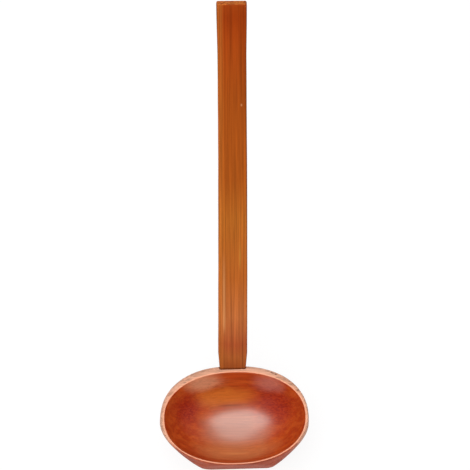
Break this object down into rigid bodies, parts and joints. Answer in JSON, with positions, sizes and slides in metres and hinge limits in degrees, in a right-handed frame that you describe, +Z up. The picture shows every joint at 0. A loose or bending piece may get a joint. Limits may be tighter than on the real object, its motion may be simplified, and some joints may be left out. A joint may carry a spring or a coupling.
{
  "type": "wooden ladle scoop",
  "caption": "Long-handled wooden ladle scoop: an oval carved bowl with a flat base and a thick back shoulder, and a flat strip handle tenoned into the shoulder and pegged.",
  "frame": {"origin": "on the flat base, straight below the middle of the bowl's mouth", "axes": "+X along the bowl's long axis, +Y from the bowl's middle towards the handle, +Z up out of the bowl"},
  "size_m": [0.0899, 0.202, 0.2532],
  "materials": {
    "bowl_wood": "varnished, semi-gloss",
    "handle_wood": "thin satin varnish",
    "peg_bamboo": "satin"
  },
  "bodies": {
    "root": {"bowl": "bowl_wood", "handle": "handle_wood", "peg_left": "peg_bamboo", "peg_right": "peg_bamboo"}
  },
  "joints": []
}
